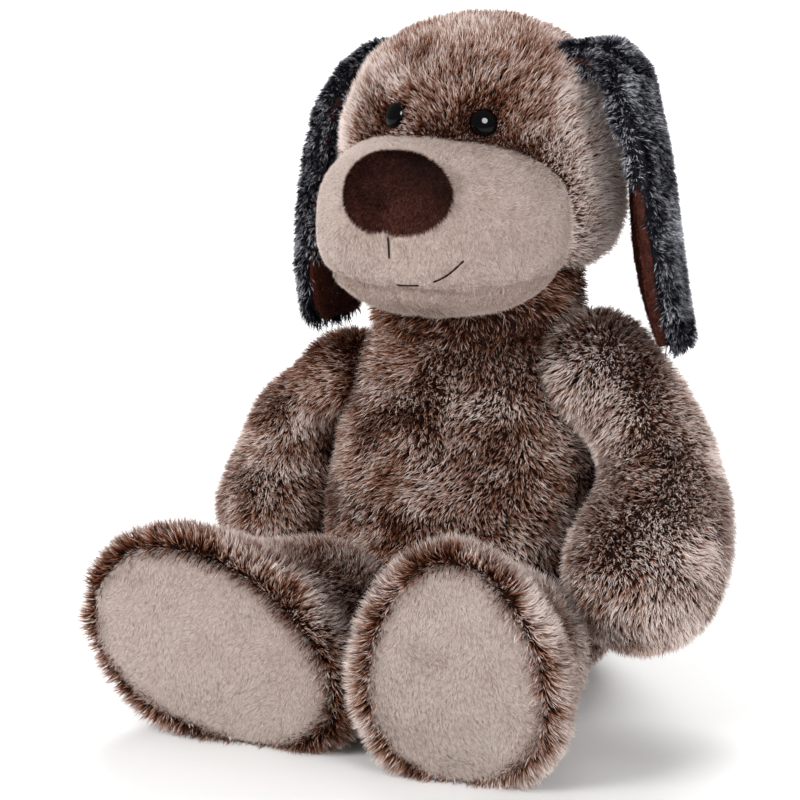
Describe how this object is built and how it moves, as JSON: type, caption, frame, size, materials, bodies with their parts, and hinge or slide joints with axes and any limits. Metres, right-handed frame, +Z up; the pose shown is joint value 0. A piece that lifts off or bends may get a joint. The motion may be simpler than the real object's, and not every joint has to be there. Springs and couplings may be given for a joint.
{
  "type": "plush dog",
  "caption": "Sitting plush dog with long hanging ears, a padded muzzle, flat-soled feet and a soft body, sewn from furry and short-pile cloth over stuffing.",
  "frame": {"origin": "on the floor, at the middle of the dog's footprint", "axes": "the dog faces -Y, its left side is +X, and +Z is up"},
  "size_m": [0.2676, 0.252, 0.317],
  "materials": {
    "frosted_fur": "long faux fur, dark brown at the root and pale pinkish beige at the tips",
    "grey_fur": "long faux fur, charcoal at the root and pale grey at the tips",
    "brown_velboa": "short reddish-brown plush",
    "beige_velboa": "very short greige velboa with a soft nap",
    "nose_plush": "short dark brown plush",
    "eye_plastic": "moulded, polished black",
    "washer_plastic": "moulded, unpainted",
    "fibrefill": "white polyester fibrefill",
    "dark_thread": "twisted dark brown thread"
  },
  "bodies": {
    "torso": {"belly_panel": "frosted_fur", "back_panel_left": "frosted_fur", "back_panel_right": "frosted_fur", "seat_panel": "frosted_fur", "body_filling": "fibrefill"},
    "neck": {"neck_filling": "fibrefill"},
    "head": {"head_gusset": "frosted_fur", "head_side_left": "frosted_fur", "head_side_right": "frosted_fur", "head_back_left": "frosted_fur", "head_back_right": "frosted_fur", "head_base": "frosted_fur", "head_filling": "fibrefill", "muzzle_side_left": "beige_velboa", "muzzle_side_right": "beige_velboa", "muzzle_chin": "beige_velboa", "muzzle_filling": "fibrefill", "nose_cover": "nose_plush", "nose_filling": "fibrefill", "eye_left": "eye_plastic", "eye_right": "eye_plastic", "eye_washer_left": "washer_plastic", "eye_washer_right": "washer_plastic", "philtrum_stitch": "dark_thread", "lip_stitch": "dark_thread", "smile_stitch": "dark_thread"},
    "ear_left": {"ear_left_outer": "grey_fur", "ear_left_lining": "brown_velboa"},
    "ear_right": {"ear_right_outer": "grey_fur", "ear_right_lining": "brown_velboa"},
    "arm_left": {"arm_left_front": "frosted_fur", "arm_left_back": "frosted_fur", "arm_left_filling": "fibrefill"},
    "arm_right": {"arm_right_front": "frosted_fur", "arm_right_back": "frosted_fur", "arm_right_filling": "fibrefill"},
    "leg_left": {"leg_left_inner": "frosted_fur", "leg_left_outer": "frosted_fur", "leg_left_filling": "fibrefill", "sole_left": "beige_velboa"},
    "leg_right": {"leg_right_inner": "frosted_fur", "leg_right_outer": "frosted_fur", "leg_right_filling": "fibrefill", "sole_right": "beige_velboa"},
    "tail": {"tail_left": "frosted_fur", "tail_right": "frosted_fur", "tail_filling": "fibrefill"}
  },
  "joints": [
    {"name": "head_nod", "type": "hinge", "parent": "torso", "child": "neck", "pos_m": [0, 0.0318, 0.2], "axis": [1, 0, 0], "range_deg": [-20, 12], "stiffness_Nm_per_rad": 1.2},
    {"name": "head_turn", "type": "hinge", "parent": "neck", "child": "head", "pos_m": [0, 0.0318, 0.2], "axis": [0, 0, 1], "range_deg": [-30, 30], "stiffness_Nm_per_rad": 0.6},
    {"name": "ear_left_swing", "type": "hinge", "parent": "head", "child": "ear_left", "pos_m": [0.053, 0.0298, 0.301], "axis": [0, -1, 0], "range_deg": [0, 60]},
    {"name": "ear_right_swing", "type": "hinge", "parent": "head", "child": "ear_right", "pos_m": [-0.053, 0.0508, 0.301], "axis": [0, 1, 0], "range_deg": [0, 60]},
    {"name": "arm_left_raise", "type": "hinge", "parent": "torso", "child": "arm_left", "pos_m": [0.064, 0.0258, 0.162], "axis": [-0.829, -0.5592, 0], "range_deg": [0, 40]},
    {"name": "arm_right_raise", "type": "hinge", "parent": "torso", "child": "arm_right", "pos_m": [-0.064, 0.0258, 0.162], "axis": [-0.829, 0.5592, 0], "range_deg": [0, 40]},
    {"name": "leg_left_swing", "type": "hinge", "parent": "torso", "child": "leg_left", "pos_m": [0.048, -0.0522, 0.041], "axis": [-1, 0, 0], "range_deg": [-70, 18]},
    {"name": "leg_right_swing", "type": "hinge", "parent": "torso", "child": "leg_right", "pos_m": [-0.048, -0.0522, 0.041], "axis": [-1, 0, 0], "range_deg": [-70, 18]},
    {"name": "tail_bend", "type": "hinge", "parent": "torso", "child": "tail", "pos_m": [0, 0.1043, 0.04], "axis": [1, 0, 0], "range_deg": [-15, 20], "stiffness_Nm_per_rad": 0.02}
  ]
}
